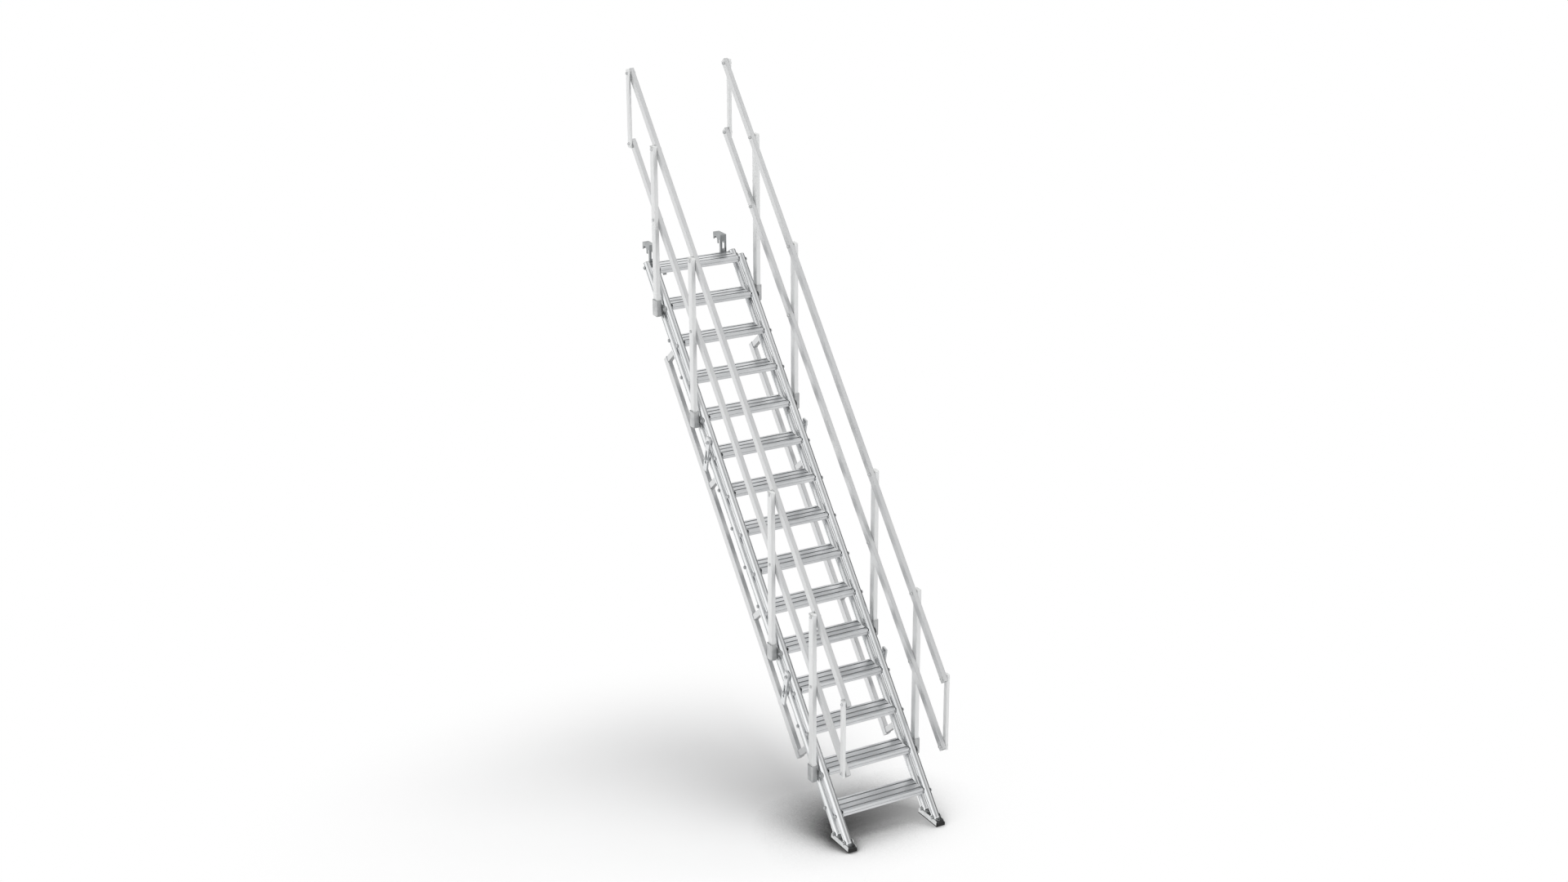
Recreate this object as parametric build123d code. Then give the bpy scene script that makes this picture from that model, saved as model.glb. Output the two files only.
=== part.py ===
from build123d import *
import math
import os

os.makedirs("parts", exist_ok=True)

# Driving dimensions, in millimetres and degrees.
INCLINATION = 50.1
TREADS = 15
PITCH = 272.0
PIN_SPACING = 127.0
CLEAR_WIDTH = 600.0
FIRST_PIN_Y = 60.0
FIRST_PIN_Z = 173.0

TUBE_D = 50.0
TUBE_WALL = 3.0
TUBE_TOP_END = 34.0
HALF_WIDTH = CLEAR_WIDTH / 2 + TUBE_D / 2
TUBE_FACE = HALF_WIDTH + TUBE_D / 2

FOOT_L = 210.0
FOOT_WALL = 3.5
FOOT_W = TUBE_D + 2 + 2 * FOOT_WALL
FOOT_BASE_T = 4.0
FOOT_H = 38.0
FOOT_PIN_Z = 40.0
FOOT_EAR_R = 17.0
PAD_T = 5.0
PAD_NOSE = 8.0
PAD_NOSE_H = 24.0

TREAD_HALF = CLEAR_WIDTH / 2 - 4
TREAD_FRONT = -5.0
TREAD_DEPTH = 163.0
TREAD_TOP = 24.0
TREAD_H = 38.0
TREAD_WALL = 2.5
GROOVE_AT = (27.0, 81.5, 136.0)
GROOVE_W = 14.0
GROOVE_D = 4.0

PIN_D = 12.0
HEAD_T = 8.0
HEAD_ACROSS = 19.0
RUNNING = 0.05
LOOSE = 0.3

POST_TREADS = (2, 5, 11, 14)
POST_X = TUBE_FACE + 29
POST_A = 50.0
POST_B = 30.0
POST_R = 12.0
POST_WALL = 2.5
POST_TOP = 1094.0
SOCKET_A = 64.0
SOCKET_B = 45.0
SOCKET_TOP = 52.0
SOCKET_BOTTOM = -60.0
ARM_T = 5.0
ARM_R = 20.0

RAIL_B = 29.0
RAIL_X = POST_X - POST_B / 2 - RAIL_B / 2 - 0.5
RAIL_D = 50.0
RAIL_WALL = 2.0
TOP_RAIL_Z = 1072.0
KNEE_RAIL_Z = 600.0
RAIL_REACH = 570.0
RAIL_END = 24.0
RAIL_PIN_D = 10.0
RAIL_HEAD = 17.0
BAR_A = 40.0
BAR_B = 20.0
BAR_X = RAIL_X + RAIL_B / 2 + BAR_B / 2 + 0.5
BAR_END = 25.0

CHORD_FRONT = 231.0
CHORD_D = 54.0
CHORD_B = 30.0
CHORD_WALL = 2.5
CHORD_LOW = 1.66
CHORD_HIGH = 12.10
BRACKET_AT = (1.75, 5.18, 8.60, 12.01)
BRACKET_A = 40.0
BRACKET_B = 33.0

STRUT_TREADS = (4, 10)
STRUT_UP = 0.42
STRUT_BACK = 155.5
STRUT_W = 46.0
STRUT_T = 12.0
STRUT_X = TUBE_FACE + 7
STRUT_TOP = 38.0
STRUT_BOTTOM = 89.0
SLOT_PLAY = 2.8
SLOT_NEAR = 70.0
SLOT_FAR = 152.0

HOOK_X = HALF_WIDTH - 55
HOOK_W = 46.0
HOOK_T = 5.0
HOOK_STEM = 15.0
HOOK_Y = 241.0
HOOK_Z = 93.0
HOOK_R = 24.2
HOOK_ROOF = 141.0

# Directions along the stringers, and what follows from the inclination.
CA = math.cos(math.radians(INCLINATION))
SA = math.sin(math.radians(INCLINATION))
GOING = PITCH * CA
RISE = PITCH * SA
MID_Y = PIN_SPACING / 2
REAR_ALONG = PIN_SPACING * CA
REAR_SQUARE = PIN_SPACING * SA
FOOT_ALONG = (FOOT_PIN_Z - FIRST_PIN_Z) / SA
TOP_ALONG = (TREADS - 1) * PITCH + TUBE_TOP_END
FLAT = (Align.CENTER, Align.CENTER, Align.MIN)


def at(x, y, z):
    """A point given from the first front pin, on the stair's centreline."""
    return Vector(HALF_WIDTH + x, FIRST_PIN_Y + y, FIRST_PIN_Z + z)


def step_point(x, i, y, z):
    """A point given from the front pin of tread i."""
    return at(x, (i - 1) * GOING + y, (i - 1) * RISE + z)


def line_point(x, along, square):
    """A point by its distance along the front stringer and square to it."""
    return at(x, along * CA + square * SA, along * SA - square * CA)


def side_plane(p):
    """A plane that looks along +X, with its x to the rear and y up."""
    return Plane(origin=p, x_dir=(0, 1, 0), z_dir=(1, 0, 0))


def run_plane(p):
    """A plane that looks up along the stringers, with its x to the right."""
    return Plane(origin=p, x_dir=(1, 0, 0), z_dir=(0, CA, SA))


def outward(side, near, length):
    """The lower x of something that runs outwards from x = near."""
    return near if side > 0 else -near - length


def rod(p, d, length):
    """A cylinder that runs along +X from the point p."""
    return side_plane(p) * Cylinder(d / 2, length, align=FLAT)


def hex_head(p, across, length):
    """A hexagonal head that runs along +X from the point p."""
    outline = side_plane(p) * RegularPolygon(across / 2, 6, major_radius=False)
    return extrude(outline, amount=length, dir=(1, 0, 0))


def tube_between(plane, w, d, r, wall, length, lids):
    """A rounded profile tube on a plane, closed at both ends by lids."""
    outer = extrude(plane * RectangleRounded(w, d, r), amount=length)
    core = plane.offset(lids)
    r_in = max(r - wall, 0.8)
    inner = extrude(
        core * RectangleRounded(w - 2 * wall, d - 2 * wall, r_in),
        amount=length - 2 * lids,
    )
    return outer - inner


def save(name, pieces):
    """Write one named node, whose solids do not touch."""
    solids = [s for piece in pieces for s in piece.solids()]
    node = solids[0] if len(solids) == 1 else Compound(children=solids)
    node.label = name
    export_step(node, "parts/" + name + ".step")


def strut_points(i):
    """Where a brace meets both stringers: along and square, by (front, rear)."""
    front = (i - 1 + STRUT_UP) * PITCH
    rear = front - STRUT_BACK + REAR_ALONG
    return (front, 0.0), (rear, REAR_SQUARE)


def stud(side, along, square):
    """A shouldered bolt on the outside of a stringer, for a brace."""
    collar = STRUT_X - 0.4 - TUBE_FACE + 2
    x0 = outward(side, TUBE_FACE - 2, collar)
    body = rod(line_point(x0, along, square), 24.0, collar)
    reach = STRUT_X + STRUT_T + 0.4 - TUBE_FACE + 2
    x1 = outward(side, TUBE_FACE - 2, reach)
    body = body + rod(line_point(x1, along, square), PIN_D, reach)
    x2 = outward(side, STRUT_X + STRUT_T + 0.4, 2.5)
    body = body + rod(line_point(x2, along, square), 26.0, 2.5)
    x3 = outward(side, STRUT_X + STRUT_T + 2.9, HEAD_T)
    return body + hex_head(line_point(x3, along, square), HEAD_ACROSS, HEAD_T)


def stringer(side, rear):
    """A round stringer: drilled for the pins and plugged at its foot."""
    x = side * HALF_WIDTH
    square = REAR_SQUARE if rear else 0.0
    shift = REAR_ALONG if rear else 0.0
    start = FOOT_ALONG + shift
    end = TOP_ALONG + shift
    r = TUBE_D / 2
    plane = run_plane(line_point(x, start - r, square))
    body = plane * Cylinder(r, end - start + r, align=FLAT)
    bore = run_plane(line_point(x, start + r, square))
    body = body - bore * Cylinder(r - TUBE_WALL, end - start, align=FLAT)
    # The plugged end is round about the foot pin, so that it can turn there.
    tip = plane * Box(2.2 * r, 2.2 * r, r, align=FLAT)
    body = body - (tip - rod(line_point(x - 1.1 * r, start, square), TUBE_D, 2.2 * r))
    fit = 2 * (LOOSE if rear else RUNNING)
    body = body - rod(line_point(x - 2 * r, start, square), PIN_D + 2 * RUNNING, 4 * r)
    for i in range(TREADS):
        hole = line_point(x - 2 * r, i * PITCH + shift, square)
        body = body - rod(hole, PIN_D + fit, 4 * r)
    for i in STRUT_TREADS:
        points = strut_points(i)
        spot = points[1] if rear else points[0]
        body = body + stud(side, *spot)
    return body


def foot(side):
    """The low channel that both stringers of one side stand in, with its pins."""
    x = HALF_WIDTH + side * HALF_WIDTH
    left = x - FOOT_W / 2
    y_front = FIRST_PIN_Y + FOOT_ALONG * CA
    pins = (y_front, y_front + PIN_SPACING)
    wall = Pos(0, PAD_T) * Rectangle(FOOT_L, FOOT_H - PAD_T, align=(Align.CENTER, Align.MIN))
    wall = fillet(wall.vertices().group_by(Axis.Y)[-1], 14)
    for y in pins:
        wall = wall + Pos(y, FOOT_PIN_Z) * Circle(FOOT_EAR_R)
        ear = Pos(y, PAD_T) * Rectangle(
            2 * FOOT_EAR_R, FOOT_PIN_Z - PAD_T, align=(Align.CENTER, Align.MIN)
        )
        wall = wall + ear
    body = extrude(side_plane(Vector(left, 0, 0)) * wall, amount=FOOT_W, dir=(1, 0, 0))
    inside = Pos(x, 0, PAD_T + FOOT_BASE_T) * Box(
        FOOT_W - 2 * FOOT_WALL, FOOT_L + 20, 2 * FOOT_PIN_Z, align=FLAT
    )
    body = body - inside
    for y in pins:
        body = body + rod(Vector(left - 1, y, FOOT_PIN_Z), PIN_D, FOOT_W + 2)
        body = body + hex_head(Vector(left - HEAD_T, y, FOOT_PIN_Z), HEAD_ACROSS, HEAD_T)
        body = body + hex_head(Vector(left + FOOT_W, y, FOOT_PIN_Z), HEAD_ACROSS, HEAD_T)
    return body


def foot_pad(side):
    """The rubber sole of one foot, turned up as a low nose at the front."""
    x = HALF_WIDTH + side * HALF_WIDTH
    y0 = -FOOT_L / 2 - PAD_NOSE
    low = (Align.CENTER, Align.MIN, Align.MIN)
    sole = Pos(x, y0, 0) * Box(FOOT_W + 2, FOOT_L + PAD_NOSE, PAD_T, align=low)
    nose = Pos(x, y0, 0) * Box(FOOT_W + 2, PAD_NOSE, PAD_NOSE_H, align=low)
    pad = sole + nose
    front = pad.edges().filter_by(Axis.X).sort_by(Axis.Y)[:2]
    return fillet(front, 3)


def tread_profile():
    """The extruded tread: a grooved top on three closed cells."""
    y0 = TREAD_FRONT
    z1 = TREAD_TOP
    z0 = TREAD_TOP - TREAD_H
    w = TREAD_WALL
    middle = Pos(y0 + TREAD_DEPTH / 2, z1 - TREAD_H / 2)
    section = middle * RectangleRounded(TREAD_DEPTH, TREAD_H, 2.5)
    roof = z1 - GROOVE_D - w
    webs = (y0 + w, y0 + 54.2, y0 + 108.8, y0 + TREAD_DEPTH - w)
    for k in range(3):
        a = webs[k] + (w / 2 if k > 0 else 0)
        b = webs[k + 1] - (w / 2 if k < 2 else 0)
        cell = Pos((a + b) / 2, (z0 + w + roof) / 2) * Rectangle(b - a, roof - z0 - w)
        section = section - cell
    for y in GROOVE_AT:
        groove = Pos(y0 + y, z1) * Rectangle(GROOVE_W, 2 * GROOVE_D)
        section = section - groove
    line = Pos(y0, z1 - TREAD_H / 2) * Rectangle(2.0, 3.0)
    return section - line


def tread(i):
    """A tread with its end plates, washers and four pivot bolts."""
    half = TREAD_HALF
    lid = 4.0
    bar = extrude(
        side_plane(step_point(-half + lid, i, 0, 0)) * tread_profile(),
        amount=2 * (half - lid),
        dir=(1, 0, 0),
    )
    body = bar
    arm = ARM_T if i in POST_TREADS else 0.0
    mid_y = TREAD_FRONT + TREAD_DEPTH / 2
    mid_z = TREAD_TOP - TREAD_H / 2
    for side in (-1, 1):
        plate = side_plane(step_point(outward(side, half - lid, lid), i, 0, 0))
        outline = plate * Pos(mid_y, mid_z) * RectangleRounded(TREAD_DEPTH, TREAD_H, 2.5)
        body = body + extrude(outline, amount=lid, dir=(1, 0, 0))
        for y in (0.0, PIN_SPACING):
            low_head = y > 0 and i in STRUT_TREADS
            inner = HALF_WIDTH - TUBE_D / 2 - 0.4
            outer = TUBE_FACE + 0.4 + arm
            x0 = outward(side, half - 1, inner - half + 1)
            body = body + rod(step_point(x0, i, y, 0), 22.0, inner - half + 1)
            x1 = outward(side, half - 1, outer - half + 2)
            body = body + rod(step_point(x1, i, y, 0), PIN_D, outer - half + 2)
            if low_head:
                x2 = outward(side, outer, 3.5)
                body = body + rod(step_point(x2, i, y, 0), 16.0, 3.5)
            else:
                x2 = outward(side, outer, HEAD_T)
                body = body + hex_head(step_point(x2, i, y, 0), HEAD_ACROSS, HEAD_T)
    return body


def socket(side, i):
    """A cup for a post, on the arm that both bolts of a tread hold."""
    height = SOCKET_TOP - SOCKET_BOTTOM
    x = side * POST_X
    base = Plane(step_point(x, i, MID_Y, SOCKET_BOTTOM))
    cup = extrude(base * RectangleRounded(SOCKET_B, SOCKET_A, 12), amount=height)
    cup = fillet(cup.edges().group_by(Axis.Z)[0], 9)
    inner = TUBE_FACE + 0.4
    arm_plane = side_plane(step_point(outward(side, inner, ARM_T), i, 0, 0))
    outline = Pos(MID_Y, 0) * Rectangle(PIN_SPACING, 2 * ARM_R)
    outline = outline + Circle(ARM_R) + Pos(PIN_SPACING, 0) * Circle(ARM_R)
    arm = extrude(arm_plane * outline, amount=ARM_T, dir=(1, 0, 0))
    for y in (0.0, PIN_SPACING):
        hole = step_point(outward(side, inner - 5, ARM_T + 10), i, y, 0)
        arm = arm - rod(hole, PIN_D + 0.1, ARM_T + 10)
    gap = POST_X - inner - ARM_T + 1
    neck_plane = side_plane(step_point(outward(side, inner + ARM_T - 1, gap), i, 0, 0))
    neck = extrude(
        neck_plane * Pos(MID_Y, 0) * Rectangle(40, 2 * ARM_R), amount=gap, dir=(1, 0, 0)
    )
    nub = Plane(
        origin=step_point(x, i, MID_Y + SOCKET_A / 2 - 3, SOCKET_TOP - 20),
        x_dir=(1, 0, 0),
        z_dir=(0, 1, 0),
    )
    bolt = extrude(nub * RegularPolygon(7.5, 6, major_radius=False), amount=9)
    body = cup + arm + neck + bolt
    seat = Plane(step_point(x, i, MID_Y, SOCKET_BOTTOM + 8))
    hollow = RectangleRounded(POST_B + 0.2, POST_A + 0.2, POST_R + 0.1)
    return body - extrude(seat * hollow, amount=height)


def rail_pivot(side, p, outer):
    """A bolt through a rail and an upright, with a head at both ends."""
    inner = RAIL_X - RAIL_B / 2 - 2.8
    head = HEAD_T - 1
    x0 = outward(side, inner, outer - inner)
    body = rod(p(x0), RAIL_PIN_D, outer - inner)
    body = body + rod(p(outward(side, inner, 2.5)), 20.0, 2.5)
    body = body + hex_head(p(outward(side, inner - head, head)), RAIL_HEAD, head)
    return body + hex_head(p(outward(side, outer, head)), RAIL_HEAD, head)


def post(side, i):
    """An upright that stands in its socket and carries both rails."""
    low = SOCKET_BOTTOM + 8
    base = Plane(step_point(side * POST_X, i, MID_Y, low))
    body = tube_between(base, POST_B, POST_A, POST_R, POST_WALL, POST_TOP - low, 5.0)
    body = fillet(body.edges().group_by(Axis.Z)[-1], 2.0)
    for z in (TOP_RAIL_Z, KNEE_RAIL_Z):
        pivot = rail_pivot(
            side,
            lambda x: step_point(x, i, MID_Y, z),
            POST_X + POST_B / 2,
        )
        body = body + pivot
    return body


def rail(side, z):
    """A handrail or a knee rail, drilled where it turns on the uprights."""
    along = MID_Y * CA + z * SA
    square = MID_Y * SA - z * CA
    x = side * RAIL_X
    first = along + (POST_TREADS[0] - 1) * PITCH
    last = along + (POST_TREADS[-1] - 1) * PITCH
    start = first - RAIL_REACH - RAIL_END
    length = last + RAIL_REACH + RAIL_END - start
    plane = run_plane(line_point(x, start, square))
    body = tube_between(plane, RAIL_B, RAIL_D, 4.0, RAIL_WALL, length, 3.0)
    spots = {(first, RUNNING)}
    for i in POST_TREADS[1:]:
        spots.add((along + (i - 1) * PITCH, LOOSE))
    end_fit = RUNNING if z == TOP_RAIL_Z else LOOSE
    spots.add((first - RAIL_REACH, end_fit))
    spots.add((last + RAIL_REACH, end_fit))
    for a, fit in sorted(spots):
        hole = line_point(x - RAIL_B, a, square)
        body = body - rod(hole, RAIL_PIN_D + 2 * fit, 2 * RAIL_B)
    return body


def end_bar(side, upper):
    """The upright bar that ties both rails together past the last post."""
    i = POST_TREADS[-1] if upper else POST_TREADS[0]
    reach = RAIL_REACH if upper else -RAIL_REACH
    y = MID_Y + reach * CA
    low = KNEE_RAIL_Z + reach * SA - BAR_END
    length = TOP_RAIL_Z - KNEE_RAIL_Z + 2 * BAR_END
    base = Plane(step_point(side * BAR_X, i, y, low))
    body = tube_between(base, BAR_B, BAR_A, 7.0, 2.0, length, 3.0)
    for z in (low + BAR_END, low + length - BAR_END):
        pivot = rail_pivot(
            side,
            lambda x: step_point(x, i, y, z),
            BAR_X + BAR_B / 2,
        )
        body = body + pivot
    return body


def chord(side):
    """The profile that stiffens the flight, below one rear stringer."""
    start = CHORD_LOW * PITCH
    length = (CHORD_HIGH - CHORD_LOW) * PITCH
    middle = CHORD_FRONT + CHORD_D / 2
    plane = run_plane(line_point(side * HALF_WIDTH, start, middle))
    return tube_between(plane, CHORD_B, CHORD_D, 3.0, CHORD_WALL, length, 3.0)


def chord_bracket(side, place):
    """A short post between a rear stringer and its chord, coped to the tube."""
    x = side * HALF_WIDTH
    top = REAR_SQUARE + 8
    plane = Plane(
        origin=line_point(x, place * PITCH, top),
        x_dir=(1, 0, 0),
        z_dir=(0, SA, -CA),
    )
    length = CHORD_FRONT - top
    body = tube_between(plane, BRACKET_B, BRACKET_A, 3.0, 3.0, length, 0.0)
    cut = run_plane(line_point(x, place * PITCH - BRACKET_A, REAR_SQUARE))
    return body - cut * Cylinder(TUBE_D / 2, 2 * BRACKET_A, align=FLAT)


def strut(side, i):
    """A slotted brace that holds the flight at the chosen inclination."""
    front, rear = strut_points(i)
    x = outward(side, STRUT_X, STRUT_T)
    top = line_point(x, *front)
    low = line_point(x, *rear)
    down = (low - top).normalized()
    span = (low - top).length
    length = STRUT_TOP + span + STRUT_BOTTOM
    plane = Plane(origin=top, x_dir=down, z_dir=(1, 0, 0))
    outline = Pos(length / 2 - STRUT_TOP, 0) * RectangleRounded(length, STRUT_W, 4)
    outline = outline - Circle(PIN_D / 2 + RUNNING)
    slot_w = PIN_D + 2 * SLOT_PLAY
    slot = Pos((SLOT_NEAR + SLOT_FAR) / 2, 0) * SlotCenterToCenter(
        SLOT_FAR - SLOT_NEAR, slot_w
    )
    return extrude(plane * (outline - slot), amount=STRUT_T, dir=(1, 0, 0))


def hook(side):
    """A folded hook behind the top tread, for a round scaffold tube."""
    back = TREAD_FRONT + TREAD_DEPTH
    low = TREAD_TOP - TREAD_H + 2
    y0 = back + 10
    tooth = HOOK_Y - HOOK_R - 16
    tip = HOOK_Y + HOOK_R + 10
    x0 = side * HOOK_X - HOOK_W / 2
    cheek = [
        (y0, low),
        (y0 + HOOK_STEM, low),
        (y0 + HOOK_STEM, HOOK_Z + 10),
        (tooth, HOOK_Z + 10),
        (tooth, HOOK_Z - 19),
        (HOOK_Y - HOOK_R, HOOK_Z - 19),
        (HOOK_Y - HOOK_R, HOOK_Z),
        (HOOK_Y + HOOK_R, HOOK_Z),
        (tip, HOOK_Z),
        (tip, HOOK_ROOF),
        (y0, HOOK_ROOF),
    ]
    outline = make_face(Polyline(*cheek, close=True))
    outline = outline - Pos(HOOK_Y, HOOK_Z) * Circle(HOOK_R)
    body = Part()
    for x in (x0, x0 + HOOK_W - HOOK_T):
        plane = side_plane(step_point(x, TREADS, 0, 0))
        body = body + extrude(plane * outline, amount=HOOK_T, dir=(1, 0, 0))
    spans = [
        (y0, HOOK_T, low, HOOK_ROOF - low),
        (y0, tip - y0, HOOK_ROOF - HOOK_T, HOOK_T),
        (tip - 2 * HOOK_T, 2 * HOOK_T, HOOK_Z + HOOK_T, HOOK_ROOF - HOOK_Z - HOOK_T),
        (back, y0 - back + 1, low, TREAD_TOP - 2 - low),
    ]
    for y, dy, z, dz in spans:
        plate = Box(HOOK_W, dy, dz, align=(Align.MIN, Align.MIN, Align.MIN))
        body = body + Pos(step_point(x0, TREADS, y, z)) * plate
    bore = step_point(x0 - 5, TREADS, HOOK_Y, HOOK_Z)
    body = body - rod(bore, 2 * HOOK_R, HOOK_W + 10)
    slot_plane = Plane(
        origin=step_point(side * HOOK_X, TREADS, y0 - 5, 68),
        x_dir=(0, 0, 1),
        z_dir=(0, 1, 0),
    )
    slot = extrude(slot_plane * SlotCenterToCenter(44, 16), amount=HOOK_T + 10)
    return body - slot


save("left_foot", [foot(-1)])
save("right_foot", [foot(1)])
save("foot_pads", [foot_pad(-1), foot_pad(1)])

save("left_front_stringer", [stringer(-1, False)])
save("right_front_stringer", [stringer(1, False)])
save("left_rear_stringer", [stringer(-1, True)])
save("right_rear_stringer", [stringer(1, True)])

for n in range(1, TREADS + 1):
    save(f"tread_{n:02d}", [tread(n)])

for n in POST_TREADS:
    save(f"sockets_{n:02d}", [socket(-1, n), socket(1, n)])
    save(f"posts_{n:02d}", [post(-1, n), post(1, n)])

save("left_top_rail", [rail(-1, TOP_RAIL_Z)])
save("right_top_rail", [rail(1, TOP_RAIL_Z)])
save("left_knee_rail", [rail(-1, KNEE_RAIL_Z)])
save("right_knee_rail", [rail(1, KNEE_RAIL_Z)])
save("lower_end_bars", [end_bar(-1, False), end_bar(1, False)])
save("upper_end_bars", [end_bar(-1, True), end_bar(1, True)])

save("left_chord", [chord(-1)])
save("right_chord", [chord(1)])
for n, spot in enumerate(BRACKET_AT):
    save(f"chord_brackets_{n + 1}", [chord_bracket(-1, spot), chord_bracket(1, spot)])

save("lower_lock_struts", [strut(-1, STRUT_TREADS[0]), strut(1, STRUT_TREADS[0])])
save("upper_lock_struts", [strut(-1, STRUT_TREADS[1]), strut(1, STRUT_TREADS[1])])
save("top_hooks", [hook(-1), hook(1)])
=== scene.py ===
# %% [markdown]
# # An adjustable aluminium access stair
# The stair is loaded as finished solids: stringer tubes, treads, posts, rails.
# Here they get their finishes, the small fasteners, and a soft studio. Nothing
# solid is moved. Everything is in metres, +Y is the way one climbs, +Z is up.

# %% Load the stair
import bmesh
import bpy
import math
from mathutils import Euler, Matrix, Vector


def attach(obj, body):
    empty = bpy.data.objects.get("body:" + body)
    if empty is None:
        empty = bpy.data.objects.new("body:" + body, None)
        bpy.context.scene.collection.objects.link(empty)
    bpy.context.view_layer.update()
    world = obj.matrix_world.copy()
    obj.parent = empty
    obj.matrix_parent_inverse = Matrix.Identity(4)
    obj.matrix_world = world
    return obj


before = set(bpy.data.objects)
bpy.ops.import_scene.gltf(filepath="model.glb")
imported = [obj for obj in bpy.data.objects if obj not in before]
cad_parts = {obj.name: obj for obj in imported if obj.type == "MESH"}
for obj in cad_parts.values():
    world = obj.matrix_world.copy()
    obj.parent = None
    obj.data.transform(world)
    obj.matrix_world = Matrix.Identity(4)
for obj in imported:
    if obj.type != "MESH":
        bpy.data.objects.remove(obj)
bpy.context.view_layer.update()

# %% [markdown]
# The camera comes first, because every finish is judged through it. The long
# lens keeps the two sides of the stair nearly parallel, as in a catalogue
# picture taken from above head height and from the left.

# %% Camera
view = bpy.data.cameras.new("catalogue_camera")
view.lens = 51.19
view.sensor_width = 36.0
view.clip_end = 400.0
camera = bpy.data.objects.new("catalogue_camera", view)
camera.location = (-6.2518, -10.5082, 7.1968)
camera.rotation_euler = Euler([math.radians(a) for a in (69.764, 0.188, -29.112)])
bpy.context.collection.objects.link(camera)
bpy.context.scene.camera = camera
print("camera at", tuple(camera.location), "lens", view.lens)

# %% [markdown]
# Colours are written as the sRGB hex values that one would pick from a picture.
# The shader works in linear light, so one function turns them over.

# %% Colour and node helpers
def colour(hex_value):
    """A linear RGBA colour, fully opaque, from an sRGB hex string."""
    parts = [int(hex_value[i:i + 2], 16) / 255 for i in (1, 3, 5)]
    linear = [p / 12.92 if p <= 0.04045 else ((p + 0.055) / 1.055) ** 2.4 for p in parts]
    return (*linear, 1.0)


def add(tree, kind, settings=None, **sockets):
    """Add a node: settings are its properties, sockets are values or links."""
    node = tree.nodes.new(kind)
    for key, value in (settings or {}).items():
        setattr(node, key, value)
    for key, value in sockets.items():
        name = key.replace("_", " ")
        slot = node.inputs[int(name[1:])] if name[1:].isdigit() else node.inputs[name]
        if isinstance(value, bpy.types.NodeSocket):
            tree.links.new(value, slot)
        else:
            slot.default_value = value
    return node


def ramp(tree, factor, *stops):
    """A colour ramp through (position, grey) stops."""
    node = add(tree, "ShaderNodeValToRGB", Fac=factor)
    band = node.color_ramp.elements
    while len(band) < len(stops):
        band.new(0.5)
    for element, (position, grey) in zip(band, stops):
        element.position = position
        element.color = (grey, grey, grey, 1)
    return node.outputs["Color"]


def new_material(name):
    """An empty material with a principled shader, and its tree."""
    material = bpy.data.materials.new(name)
    material.use_nodes = True
    tree = material.node_tree
    return material, tree, tree.nodes["Principled BSDF"]


print("white is", colour("#FFFFFF")[:3], "mid grey is", colour("#808080")[0])

# %% [markdown]
# ## Extruded aluminium
# Tubes and profiles come out of a die, so their faint lines run lengthwise. Most
# lie along the slope, while posts stand upright and braces lean back. So the
# coordinates are turned by each piece's lean, and the noise is squeezed to lines
# 3 to 4 mm apart across and a metre long. Real die lines are finer than 1 mm;
# they are drawn coarser here, so that they show from 13 metres away. The tubes
# are left bright from the die. Rails and posts are anodised matt, and that thin
# clear skin scatters a little light: hence their slightly lower metallic value.

# %% A finish with lengthwise lines
SLOPE, UPRIGHT, BRACE_LEAN = (math.radians(a) for a in (50.1, 90, 103))


def along_lean(tree, lean, across, lengthwise):
    """Object coordinates turned by the lean of a piece, scaled in lines per metre."""
    place = add(tree, "ShaderNodeTexCoord").outputs["Object"]
    leaned = add(tree, "ShaderNodeMapping", {"vector_type": "POINT"}, Vector=place,
                 Rotation=(-lean, 0.0, 0.0))
    return add(tree, "ShaderNodeMapping", Vector=leaned.outputs["Vector"],
               Scale=(across, lengthwise, across)).outputs["Vector"]


def drawn_metal(name, pale, dark, rough, lean, across=260.0, lines_share=0.3, bump=0.00003,
                metallic=1.0):
    """Extruded or drawn metal: lines along it, dull patches; lines_share weighs the lines."""
    material, tree, shader = new_material(name)
    lines = add(tree, "ShaderNodeTexNoise", Vector=along_lean(tree, lean, across, 1.0),
                Scale=1.0, Detail=3.0, Roughness=0.6).outputs["Fac"]
    patches = add(tree, "ShaderNodeTexNoise",
                  Vector=along_lean(tree, lean, 9.0, 2.2), Scale=1.0, Detail=4.0,
                  Roughness=0.55).outputs["Fac"]
    both = add(tree, "ShaderNodeMath", {"operation": "MULTIPLY_ADD"}, _0=lines,
               _1=lines_share, _2=patches)
    middle = 0.5 + 0.5 * lines_share
    tone = ramp(tree, both.outputs[0], (middle - 0.22, 0.0), (middle + 0.22, 1.0))
    base = add(tree, "ShaderNodeMix", {"data_type": "RGBA"}, _0=tone, _6=colour(dark),
               _7=colour(pale))
    gloss = add(tree, "ShaderNodeMapRange", Value=patches, From_Min=0.3, From_Max=0.7,
                To_Min=rough - 0.05, To_Max=rough + 0.08)
    relief = add(tree, "ShaderNodeBump", Height=lines, Distance=bump, Strength=0.6)
    tree.links.new(base.outputs[2], shader.inputs["Base Color"])
    tree.links.new(gloss.outputs[0], shader.inputs["Roughness"])
    tree.links.new(relief.outputs[0], shader.inputs["Normal"])
    shader.inputs["Metallic"].default_value = metallic
    return material


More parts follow.
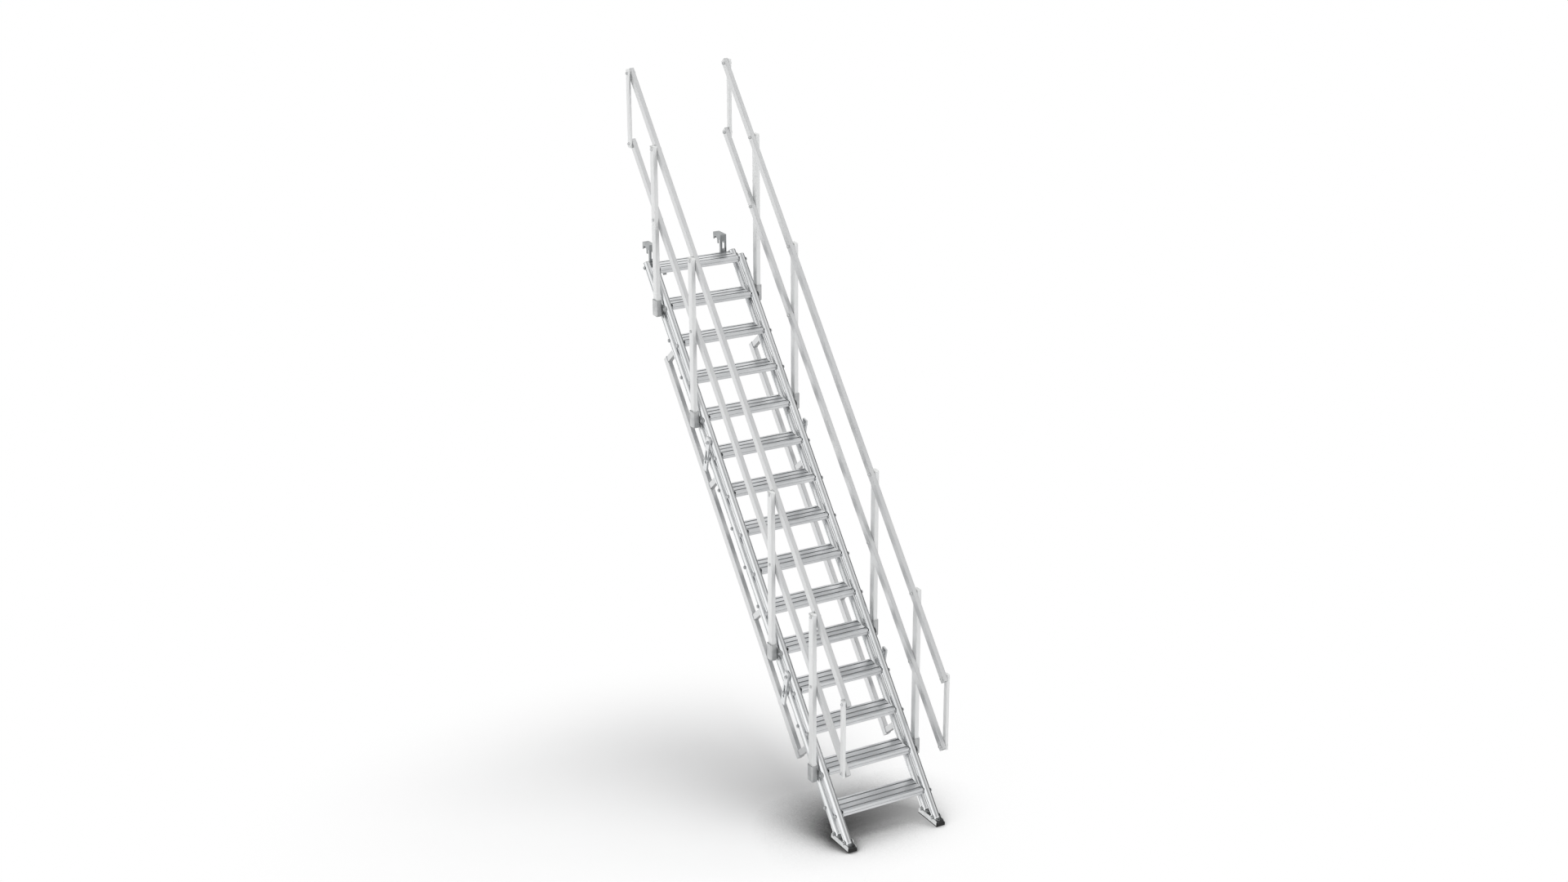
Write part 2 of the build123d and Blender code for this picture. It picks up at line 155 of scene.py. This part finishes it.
mill_tube = drawn_metal("mill_finish_aluminium_tube", "#EAEBEC", "#D8DADB", 0.20, SLOPE, 330.0,
                        lines_share=0.12, bump=0.000008)
satin_rail = drawn_metal("satin_aluminium_rail", "#DCDDDD", "#CCCDCE", 0.38, SLOPE,
                         metallic=0.9)
satin_post = drawn_metal("satin_aluminium_post", "#F2F3F3", "#E8E9E9", 0.50, UPRIGHT,
                         metallic=0.75)
flat_bar = drawn_metal("flat_aluminium_bar", "#E2E3E4", "#CFD1D2", 0.38, BRACE_LEAN)
print("drawn metals:", mill_tube.name, satin_rail.name, satin_post.name, flat_bar.name)

# %% [markdown]
# ## Tread aluminium
# A tread is extruded too, but across the stair, and it is stepped on: its gloss
# is worn unevenly, its grooves darken with painted shade and dirt, and it is
# duller than a tube. Both could be painted by hand, but ambient occlusion finds
# the grooves and corners where they gather, on all fifteen treads alike.

# %% Tread finish
def tread_metal(name, pale, dark, groove_shade_and_dirt):
    """A tread: ribs 4.5 mm apart drawn as relief, and painted shade and dirt in its grooves."""
    material, tree, shader = new_material(name)
    place = add(tree, "ShaderNodeTexCoord").outputs["Object"]
    long_way = add(tree, "ShaderNodeMapping", Vector=place, Scale=(2.0, 260.0, 260.0))
    lines = add(tree, "ShaderNodeTexNoise", Vector=long_way.outputs[0], Scale=1.0,
                Detail=3.0, Roughness=0.6).outputs["Fac"]
    stains = add(tree, "ShaderNodeTexNoise", Vector=place, Scale=11.0, Detail=5.0,
                 Roughness=0.6).outputs["Fac"]
    tone = ramp(tree, lines, (0.35, 0.0), (0.65, 1.0))
    metal = add(tree, "ShaderNodeMix", {"data_type": "RGBA"}, _0=tone, _6=colour(dark),
                _7=colour(pale))
    # painted shade and dirt: where ambient occlusion finds grooves and corners, the metal turns
    # to a darker grey
    corner = add(tree, "ShaderNodeAmbientOcclusion", {"samples": 4}, Distance=0.010)
    open_part = ramp(tree, corner.outputs["AO"], (0.40, 0.0), (0.90, 1.0))
    shaded_and_soiled = add(tree, "ShaderNodeMix", {"data_type": "RGBA"}, _0=open_part,
                 _6=colour(groove_shade_and_dirt), _7=metal.outputs[2])
    ribs = add(tree, "ShaderNodeTexWave", {"wave_type": "BANDS", "bands_direction": "Y"},
               Vector=place, Scale=70.0, Distortion=0.0)
    relief = add(tree, "ShaderNodeBump", Height=ribs.outputs["Fac"], Distance=0.00015,
                 Strength=0.4)
    gloss = add(tree, "ShaderNodeMapRange", Value=stains, From_Min=0.3, From_Max=0.7,
                To_Min=0.28, To_Max=0.44)
    tree.links.new(shaded_and_soiled.outputs[2], shader.inputs["Base Color"])
    tree.links.new(gloss.outputs[0], shader.inputs["Roughness"])
    tree.links.new(relief.outputs[0], shader.inputs["Normal"])
    shader.inputs["Metallic"].default_value = 1.0
    return material


# the last colour is the painted shade and dirt in the grooves and corners
ribbed_tread = tread_metal("ribbed_tread_aluminium", "#EAEBEC", "#D4D6D8", "#64676A")
print("tread finish:", ribbed_tread.name)

# %% [markdown]
# ## Cast and coated metal, zinc and rubber
# The cups that hold the posts are castings: a sandy skin, greyer than the tubes.
# The hooks are steel under a thin grey coat that shines like metal. Bolts are
# zinc plated. A picture could be wrapped round each, but two noises do it without
# a seam: a fine one for the grain, and a slow one for changes of tone. The soles
# are moulded rubber, and dusty.

# %% Castings, hooks, feet, bolts and rubber
def grainy(name, pale, dark, rough, metallic, grain_mm, bump):
    """A surface with a fine grain and slow changes of tone."""
    material, tree, shader = new_material(name)
    place = add(tree, "ShaderNodeTexCoord").outputs["Object"]
    grain = add(tree, "ShaderNodeTexNoise", Vector=place, Scale=1000.0 / grain_mm,
                Detail=2.0, Roughness=0.5).outputs["Fac"]
    clouds = add(tree, "ShaderNodeTexNoise", Vector=place, Scale=16.0, Detail=4.0,
                 Roughness=0.6).outputs["Fac"]
    tone = ramp(tree, clouds, (0.35, 0.0), (0.68, 1.0))
    base = add(tree, "ShaderNodeMix", {"data_type": "RGBA"}, _0=tone, _6=colour(dark),
               _7=colour(pale))
    gloss = add(tree, "ShaderNodeMapRange", Value=grain, From_Min=0.3, From_Max=0.7,
                To_Min=rough - 0.06, To_Max=rough + 0.08)
    relief = add(tree, "ShaderNodeBump", Height=grain, Distance=bump, Strength=0.5)
    tree.links.new(base.outputs[2], shader.inputs["Base Color"])
    tree.links.new(gloss.outputs[0], shader.inputs["Roughness"])
    tree.links.new(relief.outputs[0], shader.inputs["Normal"])
    shader.inputs["Metallic"].default_value = metallic
    return material


cast_socket = grainy("cast_aluminium_socket", "#D0D1D1", "#B6B8B9", 0.46, 1.0, 3.0, 0.0003)
folded_foot = grainy("folded_aluminium_foot", "#D6D7D7", "#BFC1C1", 0.36, 1.0, 5.0, 0.0001)
coated_hook = grainy("grey_coated_steel_hook", "#B2B4B5", "#939697", 0.36, 1.0, 4.0, 0.0002)
bright_zinc = grainy("zinc_plated_bolt", "#D8D9DA", "#BABCBD", 0.30, 1.0, 2.0, 0.0001)
dusty_rubber = grainy("moulded_rubber_sole", "#232323", "#141414", 0.75, 0.0, 3.0, 0.0004)
print("grainy finishes:", cast_socket.name, folded_foot.name, coated_hook.name,
      bright_zinc.name, dusty_rubber.name)

# %% [markdown]
# ## Who gets which finish
# The solids keep their shape. A finish is given by putting it in the material
# slots of the node, and the node's name says what kind of piece it is.

# %% Give every node its finish
def finish_of(name):
    """The finish that a node gets, by the kind of piece it is."""
    if name.startswith("tread"):
        return ribbed_tread
    if "stringer" in name:
        return mill_tube
    if "rail" in name or "chord" in name:
        return satin_rail
    if name.startswith("posts") or "end_bars" in name:
        return satin_post
    if "struts" in name:
        return flat_bar
    if name.startswith("sockets"):
        return cast_socket
    if name.endswith("pads"):
        return dusty_rubber
    if name.endswith("foot"):
        return folded_foot
    return coated_hook


for name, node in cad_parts.items():
    for i in range(max(1, len(node.material_slots))):
        if not node.material_slots:
            node.data.materials.append(finish_of(name))
        else:
            node.material_slots[i].material = finish_of(name)
print("finished nodes:", len(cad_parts))

# %% [markdown]
# ## Where the small pieces go
# The pivots came as plain hexagonal heads, and everything that dresses them sits
# at a known place of the stair. It could be placed by eye, one piece at a time,
# but a stair repeats: so each place is worked out from the same few sizes as the
# solids, such as 272 mm between the pins of two treads.

# %% Places along the stair
CA, SA = math.cos(SLOPE), math.sin(SLOPE)
PITCH, PIN_SPACING, TREADS = 272.0, 127.0, 15
POST_TREADS, STRUT_TREADS = (2, 5, 11, 14), (4, 10)
TUBE_R, HALF = 25.0, 325.0
TUBE_FACE = HALF + TUBE_R
FIRST_PIN_Y, FIRST_PIN_Z, FOOT_PIN_Z = 60.0, 173.0, 40.0
POST_X, POST_HALF, POST_TOP, ARM_T = 379.0, 15.0, 1094.0, 5.0
RAIL_X, RAIL_HALF, RAIL_HEIGHTS, RAIL_REACH = 349.0, 14.5, (600.0, 1072.0), 570.0
BAR_X, BAR_HALF, STRUT_OUT = 374.0, 10.0, 369.0
MID_Y = PIN_SPACING / 2
REAR_SQUARE, REAR_ALONG = PIN_SPACING * SA, PIN_SPACING * CA
STRINGERS = (("front", 0.0, 0.0), ("rear", REAR_ALONG, REAR_SQUARE))
X_AXIS, Y_AXIS, RUN = Vector((1, 0, 0)), Vector((0, 1, 0)), Vector((0, CA, SA))


def place_at(x, y, z):
    """A point in mm from the first front pin, on the centreline, in metres."""
    return Vector((HALF + x, FIRST_PIN_Y + y, FIRST_PIN_Z + z)) / 1000


def by_tread(i, x, y, z):
    """A point in mm from the front pin of tread i."""
    return place_at(x, (i - 1) * PITCH * CA + y, (i - 1) * PITCH * SA + z)


def by_slope(x, along, square):
    """A point by its distance along the front stringer and square to it."""
    return place_at(x, along * CA + square * SA, along * SA - square * CA)


print("top tread's front pin", tuple(round(v, 4) for v in by_tread(TREADS, 0, 0, 0)))

# %% [markdown]
# ## Turned pieces
# Washers, thread ends and tube plugs are all turned about an axis. A cylinder
# with a bevel would come close, but a short profile that is swept round gives
# each chamfer its real size.

# %% Turned pieces
def band(mesh, low, high):
    """Join two rings of points by faces, all the way round."""
    for k in range(len(low)):
        n = (k + 1) % len(low)
        mesh.faces.new((low[k], low[n], high[n], high[k]))


def turned(mesh, profile, centre, axis, segments=24):
    """A turned shape: profile is (mm along the axis, radius in mm), both ends closed."""
    side = axis.orthogonal().normalized()
    up = axis.cross(side).normalized()
    rings = []
    for out, radius in profile:
        ring = []
        for k in range(segments):
            turn = 2 * math.pi * k / segments
            arm = side * math.cos(turn) + up * math.sin(turn)
            ring.append(mesh.verts.new(centre + (axis * out + arm * radius) / 1000))
        rings.append(ring)
    for low, high in zip(rings, rings[1:]):
        band(mesh, low, high)
    mesh.faces.new(rings[0][::-1])
    mesh.faces.new(rings[-1])


def piece(name, mesh, body, material):
    """Make an object of a mesh, smooth its soft edges and let it ride on a body."""
    bmesh.ops.recalc_face_normals(mesh, faces=mesh.faces)
    data = bpy.data.meshes.new(name)
    mesh.to_mesh(data)
    mesh.free()
    data.materials.append(material)
    data.polygons.foreach_set("use_smooth", [True] * len(data.polygons))
    data.set_sharp_from_angle(angle=math.radians(32))
    thing = bpy.data.objects.new(name, data)
    bpy.context.collection.objects.link(thing)
    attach(thing, body)


WASHER = [(0.0, 9.0), (0.0, 12.3), (0.3, 12.6), (1.3, 12.6), (1.7, 12.0), (1.7, 9.0)]
SMALL_WASHER = [(d, r - 2.2) for d, r in WASHER]
THREAD_END = [(-0.6, 8.3), (0.5, 8.0), (0.6, 5.6), (1.7, 5.6), (2.3, 5.0), (2.3, 3.2),
              (2.0, 2.6)]
FLAT_END = [(-0.6, 7.8), (0.35, 7.4), (0.35, 4.0), (0.1, 3.6)]
print("turned profiles:", len(WASHER), len(THREAD_END), len(FLAT_END), "points")

# %% [markdown]
# ## Washers and thread ends
# Each pivot is a bolt with a head outside and a nut on its far end. A mechanic
# sees a chamfered washer below the head and the rounded end of the thread. Both
# ride on the body that carries the bolt, so that they turn with it.

# %% Fixings of the treads and rails
HEAD_T, RAIL_HEAD_T, WASHER_GAP, RAIL_WASHER_T = 8.0, 7.0, 0.4, 2.8
RAIL_THREAD_X = RAIL_X - RAIL_HALF - RAIL_WASHER_T - RAIL_HEAD_T
fixings = 0
for i in range(1, TREADS + 1):
    mesh = bmesh.new()
    arm = ARM_T if i in POST_TREADS else 0.0
    seat = TUBE_FACE + WASHER_GAP + arm
    for side in (-1, 1):
        for y in (0.0, PIN_SPACING):
            if y and i in STRUT_TREADS:
                continue
            turned(mesh, WASHER, by_tread(i, side * seat, y, 0), X_AXIS * side)
            turned(mesh, THREAD_END, by_tread(i, side * (seat + HEAD_T), y, 0), X_AXIS * side)
            fixings += 1
        if i not in POST_TREADS:
            continue
        face = POST_X + POST_HALF
        for z in RAIL_HEIGHTS:
            turned(mesh, SMALL_WASHER, by_tread(i, side * face, MID_Y, z), X_AXIS * side)
            turned(mesh, FLAT_END, by_tread(i, side * (face + RAIL_HEAD_T), MID_Y, z),
                   X_AXIS * side)
            turned(mesh, THREAD_END, by_tread(i, side * RAIL_THREAD_X, MID_Y, z),
                   X_AXIS * -side)
            fixings += 1
    piece("tread_%02d_fixings" % i, mesh, "tread_%02d" % i, bright_zinc)
print("pivots of treads and posts dressed:", fixings)

# %% Fixings of the end bars, braces and feet
for body, i, reach in (("lower_end_bars", 2, -RAIL_REACH), ("upper_end_bars", 14, RAIL_REACH)):
    mesh = bmesh.new()
    face = BAR_X + BAR_HALF
    for side in (-1, 1):
        for z in RAIL_HEIGHTS:
            spot = (MID_Y + reach * CA, z + reach * SA)
            turned(mesh, SMALL_WASHER, by_tread(i, side * face, *spot), X_AXIS * side)
            turned(mesh, THREAD_END, by_tread(i, side * (face + RAIL_HEAD_T), *spot),
                   X_AXIS * side)
            turned(mesh, THREAD_END, by_tread(i, side * RAIL_THREAD_X, *spot), X_AXIS * -side)
            fixings += 1
    piece(body + "_fixings", mesh, body, bright_zinc)

STRUT_UP, STRUT_BACK, STRUT_HEAD_T = 0.42, 155.5, 10.9
for name, shift, square in STRINGERS:
    mesh = bmesh.new()
    back = STRUT_BACK - REAR_ALONG if shift else 0.0
    for side in (-1, 1):
        for i in STRUT_TREADS:
            along = (i - 1 + STRUT_UP) * PITCH - back
            turned(mesh, THREAD_END, by_slope(side * (STRUT_OUT + STRUT_HEAD_T), along, square),
                   X_AXIS * side)
            fixings += 1
    piece(name + "_brace_fixings", mesh, name + "_stringers", bright_zinc)

FOOT_HALF = 29.5
first_foot_y = FIRST_PIN_Y + (FOOT_PIN_Z - FIRST_PIN_Z) / SA * CA
mesh = bmesh.new()
for middle in (0.0, 2 * HALF):
    for side in (-1, 1):
        for y in (first_foot_y, first_foot_y + PIN_SPACING):
            spot = Vector((middle + side * FOOT_HALF, y, FOOT_PIN_Z)) / 1000
            turned(mesh, SMALL_WASHER, spot, X_AXIS * side)
            turned(mesh, THREAD_END, spot + X_AXIS * side * HEAD_T / 1000, X_AXIS * side)
            fixings += 1
piece("foot_fixings", mesh, "feet", bright_zinc)
print("pivots dressed:", fixings)

# %% [markdown]
# ## Caps
# The tubes end in black moulded plugs, the posts in pale caps with a rounded
# rim. A plug is turned like a washer; a cap is a stack of rounded outlines, so
# that its corners keep their radius all the way up. The same stack draws the
# posts' crisp corners, as a skin 0.2 mm thick over the rounder solids.

# %% Caps of the tubes and posts
black_cap = grainy("black_plastic_cap", "#3B3D3E", "#2C2E2F", 0.48, 0.0, 1.5, 0.0001)
pale_cap = grainy("pale_plastic_cap", "#E3E4E3", "#D3D4D3", 0.46, 0.0, 1.5, 0.0001)
PLUG = [(-12.0, 21.2), (-0.6, 21.6), (0.2, 24.2), (1.2, 24.4), (2.0, 23.6), (2.6, 20.0),
        (2.8, 10.0)]
TUBE_TOP_END = 34.0
top_along = (TREADS - 1) * PITCH + TUBE_TOP_END
for name, shift, square in STRINGERS:
    mesh = bmesh.new()
    for side in (-1, 1):
        turned(mesh, PLUG, by_slope(side * HALF, top_along + shift, square), RUN, 32)
    piece(name + "_tube_caps", mesh, name + "_stringers", black_cap)


def rounded_outline(w, d, r, corner=7):
    """Points round a rounded rectangle, in mm."""
    points = []
    for cx, cy, start in ((w / 2 - r, d / 2 - r, 0), (r - w / 2, d / 2 - r, 90),
                          (r - w / 2, r - d / 2, 180), (w / 2 - r, r - d / 2, 270)):
        for k in range(corner):
            turn = math.radians(start + 90 * k / (corner - 1))
            points.append((cx + r * math.cos(turn), cy + r * math.sin(turn)))
    return points


def stacked(mesh, levels, centre):
    """Rounded outlines at rising heights, closed below and above."""
    rings = []
    for z, w, d, r in levels:
        rings.append([mesh.verts.new(centre + Vector((x, y, z)) / 1000)
                      for x, y in rounded_outline(w, d, r)])
    for low, high in zip(rings, rings[1:]):
        band(mesh, low, high)
    mesh.faces.new(rings[0][::-1])
    mesh.faces.new(rings[-1])


SOCKET_TOP = 52.0
SKIN = [(SOCKET_TOP - POST_TOP, 30.4, 50.4, 4.2), (-0.2, 30.4, 50.4, 4.2)]
CAP = [(-8.0, 30.0, 50.0, 4.0), (-8.0, 30.9, 50.9, 4.4), (-1.6, 30.9, 50.9, 4.4),
       (-0.4, 30.0, 50.0, 4.0), (0.4, 27.0, 47.0, 3.0)]
for i in POST_TREADS:
    for name, levels, finish in (("skins", SKIN, satin_post), ("caps", CAP, pale_cap)):
        mesh = bmesh.new()
        for side in (-1, 1):
            stacked(mesh, levels, by_tread(i, side * POST_X, MID_Y, POST_TOP))
        piece("post_%s_%02d" % (name, i), mesh, "tread_%02d" % i, finish)
print("caps on", 2 * len(STRINGERS), "tubes and", 2 * len(POST_TREADS), "posts")

# %% [markdown]
# ## Welds
# Brackets and sockets are welded on, so a bead runs round each joint. A real
# bead freezes in ripples as the welder moves on; here its radius swells by a
# fifth about every 4 mm, which catches the light like the real one.

# %% Weld beads
weld = grainy("weld_bead_aluminium", "#C4C6C7", "#A3A5A6", 0.46, 1.0, 1.2, 0.0002)
SQUARE_OUT = Vector((0, SA, -CA))
BRACKET_AT, BRACKET_A, BRACKET_B = (1.75, 5.18, 8.60, 12.01), 40.0, 33.0
CHORD_WELD, TUBE_WELD_OUT = 230.4, 0.6
SOCKET_WELD_X, SOCKET_WELD = TUBE_FACE + ARM_T + 0.9, 40.5


def bead(mesh, path, radius, ripple=4.0, segments=7):
    """A weld bead on a closed path: its radius swells about every 4 mm."""
    count = len(path)
    middle = sum(path, Vector()) / count
    rings, run = [], 0.0
    for k, point in enumerate(path):
        ahead, behind = path[(k + 1) % count], path[k - 1]
        forward = (ahead - behind).normalized()
        out = (point - middle).normalized()
        up = forward.cross(out).normalized()
        out = up.cross(forward)
        run += (point - behind).length * 1000
        r = radius * (1 + 0.20 * math.sin(2 * math.pi * run / ripple)) / 1000
        ring = []
        for j in range(segments):
            turn = 2 * math.pi * j / segments
            ring.append(mesh.verts.new(point + (out * math.cos(turn) + up * math.sin(turn)) * r))
        rings.append(ring)
    for k in range(count):
        band(mesh, rings[k], rings[(k + 1) % count])


def oblong(w, h, step=1.4):
    """Points round a rectangle of w by h mm, about step mm apart."""
    nw, nh = max(2, round(w / step)), max(2, round(h / step))
    points = [(-w / 2 + w * k / nw, -h / 2) for k in range(nw)]
    points += [(w / 2, -h / 2 + h * k / nh) for k in range(nh)]
    points += [(w / 2 - w * k / nw, h / 2) for k in range(nw)]
    return points + [(-w / 2, h / 2 - h * k / nh) for k in range(nh)]


mesh = bmesh.new()
for side in (-1, 1):
    for place in BRACKET_AT:
        foot = by_slope(side * HALF, place * PITCH, 0)
        chord_side, tube_side = [], []
        for u, v in oblong(BRACKET_B, BRACKET_A):
            on_chord = foot + (X_AXIS * u + RUN * v + SQUARE_OUT * CHORD_WELD) / 1000
            saddle = REAR_SQUARE + math.sqrt(TUBE_R * TUBE_R - u * u) + TUBE_WELD_OUT
            chord_side.append(on_chord)
            tube_side.append(foot + (X_AXIS * u + RUN * v + SQUARE_OUT * saddle) / 1000)
        bead(mesh, chord_side, 2.3)
        bead(mesh, tube_side, 2.3)
piece("chord_bracket_welds", mesh, "rear_stringers", weld)
for i in POST_TREADS:
    mesh = bmesh.new()
    for side in (-1, 1):
        ring = [by_tread(i, side * SOCKET_WELD_X, MID_Y + u, v)
                for u, v in oblong(SOCKET_WELD, SOCKET_WELD)]
        bead(mesh, ring, 2.2)
    piece("socket_welds_%02d" % i, mesh, "tread_%02d" % i, weld)
print("weld beads:", 4 * len(BRACKET_AT) + 2 * len(POST_TREADS))

# %% [markdown]
# ## Top tread
# The hooks are bolted to the back of the top tread, and a small folded stop sits
# below its front edge. The stop is a short piece of angle: one section, drawn out
# and given the small round edges of a fold.

# %% Hook bolts and the stop under the top tread
HOOK_X, TREAD_BACK_Y, HOOK_BOLT_Z = HALF - 55.0, 168.0, 34.0
HOOK_WASHER = [(d, r * 0.92) for d, r in WASHER]
HOOK_HEAD = [(1.6, 8.4), (5.6, 8.4), (6.6, 7.6), (6.6, 4.2), (4.6, 3.8)]
mesh = bmesh.new()
for side in (-1, 1):
    face = by_tread(TREADS, side * HOOK_X, TREAD_BACK_Y, HOOK_BOLT_Z)
    turned(mesh, HOOK_WASHER, face, -Y_AXIS)
    turned(mesh, HOOK_HEAD, face, -Y_AXIS, 6)
piece("hook_bolts", mesh, "tread_15", bright_zinc)

STOP_LENGTH, FOLD_R, STOP_CORNER = 26.0, 0.4, (-277.0, -4.0, -14.2)
STOP_SECTION = [(0.0, 0.0), (20.0, 0.0), (20.0, -3.0), (4.0, -3.0), (3.0, -4.0), (3.0, -12.0),
                (2.0, -13.0), (0.0, -13.0)]
mesh = bmesh.new()
low = by_tread(TREADS, *STOP_CORNER)
ends = [[mesh.verts.new(low + Vector((x, y, z)) / 1000) for y, z in STOP_SECTION]
        for x in (0.0, STOP_LENGTH)]
band(mesh, ends[0], ends[1])
mesh.faces.new(ends[0][::-1])
mesh.faces.new(ends[1])
bmesh.ops.bevel(mesh, geom=list(mesh.edges), offset=FOLD_R / 1000, segments=2, affect="EDGES")
piece("top_tread_stop", mesh, "tread_15", coated_hook)
print("hook bolts 2, stop 1")

# %% [markdown]
# ## Studio floor
# A pale sweep of paper that turns to pure white away from the stair. It could be
# lit until it is white, but that would wash out the stair too. So the far floor
# glows for the camera alone, and lets mirrored rays through to the cards below.
# The floor right under the first treads sees little of the lamp or the sky, and
# ambient occlusion deepens that dark patch.

# %% Floor
FLOOR_SIDE, CONTACT_REACH = 260.0, 0.50
bpy.ops.mesh.primitive_plane_add(size=FLOOR_SIDE, location=(HALF / 1000, 0.0, 0.0))
floor = bpy.context.object
floor.name = "studio_floor"
paper, tree, shader = new_material("white_studio_paper")
place = add(tree, "ShaderNodeTexCoord").outputs["Object"]
oval = add(tree, "ShaderNodeMapping", Vector=place, Location=(0.80, -0.62, 0.0),
           Scale=(0.62, 0.80, 1.0))
distance = add(tree, "ShaderNodeVectorMath", {"operation": "LENGTH"}, _0=oval.outputs[0])
fade = add(tree, "ShaderNodeMapRange", {"interpolation_type": "SMOOTHSTEP"},
           Value=distance.outputs["Value"], From_Min=0.62, From_Max=1.85)
path = add(tree, "ShaderNodeLightPath")
white = add(tree, "ShaderNodeEmission", Color=(1, 1, 1, 1), Strength=1.0)
clear = add(tree, "ShaderNodeBsdfTransparent")
nearby = add(tree, "ShaderNodeAmbientOcclusion", {"samples": 8}, Distance=CONTACT_REACH)
contact = ramp(tree, nearby.outputs["AO"], (0.68, 0.0), (0.94, 1.0))
unshaded = add(tree, "ShaderNodeMath", {"operation": "MAXIMUM"}, _0=contact,
               _1=path.outputs["Is Glossy Ray"])
shade = add(tree, "ShaderNodeMix", {"data_type": "RGBA"}, _0=unshaded.outputs[0],
            _6=colour("#0C0C0C"), _7=colour("#F6F6F6"))
tree.links.new(shade.outputs[2], shader.inputs["Base Color"])
shader.inputs["Roughness"].default_value = 0.9
shader.inputs["Specular IOR Level"].default_value = 0.0
away = add(tree, "ShaderNodeMixShader", _0=path.outputs["Is Glossy Ray"], _1=white.outputs[0],
           _2=clear.outputs[0])
seen = add(tree, "ShaderNodeMath", {"operation": "MULTIPLY"}, _0=fade.outputs[0],
           _1=path.outputs["Is Camera Ray"])
close_by = add(tree, "ShaderNodeMapRange", {"interpolation_type": "SMOOTHSTEP"},
               Value=distance.outputs["Value"], From_Min=0.45, From_Max=0.90)
mirrored = add(tree, "ShaderNodeMath", {"operation": "MULTIPLY"}, _0=close_by.outputs[0],
               _1=path.outputs["Is Glossy Ray"])
amount = add(tree, "ShaderNodeMath", {"operation": "ADD"}, _0=seen.outputs[0],
             _1=mirrored.outputs[0])
blend = add(tree, "ShaderNodeMixShader", _0=amount.outputs[0], _1=shader.outputs[0],
            _2=away.outputs[0])
tree.links.new(blend.outputs[0], tree.nodes["Material Output"].inputs["Surface"])
floor.data.materials.append(paper)
print("floor side", FLOOR_SIDE, "m")

# %% [markdown]
# ## What the metal mirrors
# Polished metal shows its surroundings and little else. A real studio would hang
# white cards and dark flags round the stair. Here they are soft patches of the
# sky on a grey wall, seen by mirrored rays alone: each is a direction, the
# cosines where it starts and is full, and what it adds or, for a flag, takes
# away. The lamp stands to the right and in front, so that the soft shadow falls
# to the left and back, and metal doesn't mirror it.

# %% Sky, cards and lamp
CARDS = {
    "streaks on the tubes' left": ((-0.95, -0.10, 0.30), 0.60, 0.94, 0.72),
    "streaks on the tubes' right": ((0.62, -0.42, 0.66), 0.70, 0.97, 0.38),
    "side faces": ((-0.38, 0.84, -0.38), 0.78, 0.97, 0.85),
    "front faces": ((0.46, -0.82, -0.34), 0.60, 0.95, 0.42),
    "tops of the treads": ((0.46, 0.82, 0.34), 0.72, 0.95, 0.56),
    "corners of the posts": ((-0.82, -0.46, -0.34), 0.72, 0.97, 0.50),
    "overhead": ((0.00, 0.10, 1.00), 0.60, 0.98, 0.20),
    "flag for right edges": ((0.93, 0.22, 0.12), 0.84, 0.97, -0.34),
    "flag for left edges": ((-0.86, 0.50, -0.08), 0.92, 0.99, -0.35),
}
WALL, SKY_LIGHT, LAMP_LIGHT, LAMP_WIDTH = 0.46, 0.34, 2.75, 70
LAMP_FROM = Vector((0.46, -0.50, 1.0))
sky = bpy.data.worlds.new("card_studio")
bpy.context.scene.world = sky
sky.use_nodes = True
tree = sky.node_tree
card = tree.nodes["Background"]
card.inputs["Color"].default_value = (1, 1, 1, 1)
card.inputs["Strength"].default_value = SKY_LIGHT
path = add(tree, "ShaderNodeLightPath")
place = add(tree, "ShaderNodeTexCoord").outputs["Generated"]
level = WALL
for toward, start, full, gain in CARDS.values():
    facing = add(tree, "ShaderNodeVectorMath", {"operation": "DOT_PRODUCT"}, _0=place,
                 _1=Vector(toward).normalized())
    patch = add(tree, "ShaderNodeMapRange", {"interpolation_type": "SMOOTHSTEP"},
                Value=facing.outputs["Value"], From_Min=start, From_Max=full, To_Max=gain)
    level = add(tree, "ShaderNodeMath", {"operation": "ADD"}, _0=patch.outputs[0],
                _1=level).outputs[0]
mirror = add(tree, "ShaderNodeBackground", Strength=level, Color=(1, 1, 1, 1))
white = add(tree, "ShaderNodeBackground", Strength=1.0, Color=(1, 1, 1, 1))
first = add(tree, "ShaderNodeMixShader", _0=path.outputs["Is Glossy Ray"],
            _1=card.outputs[0], _2=mirror.outputs[0])
second = add(tree, "ShaderNodeMixShader", _0=path.outputs["Is Camera Ray"],
             _1=first.outputs[0], _2=white.outputs[0])
tree.links.new(second.outputs[0], tree.nodes["World Output"].inputs["Surface"])

lamp = bpy.data.lights.new("soft_key", "SUN")
lamp.energy = LAMP_LIGHT
lamp.angle = math.radians(LAMP_WIDTH)
key = bpy.data.objects.new("soft_key", lamp)
key.rotation_euler = LAMP_FROM.to_track_quat("Z", "Y").to_euler()
key.visible_glossy = False
bpy.context.collection.objects.link(key)
print("cards", len(CARDS), "sky light", SKY_LIGHT, "lamp light", LAMP_LIGHT)

# %% [markdown]
# ## Finish
# Last, the display transform stays plain, so that a colour shows as it was written.

# %% Finish
bpy.context.scene.view_settings.view_transform = "Standard"
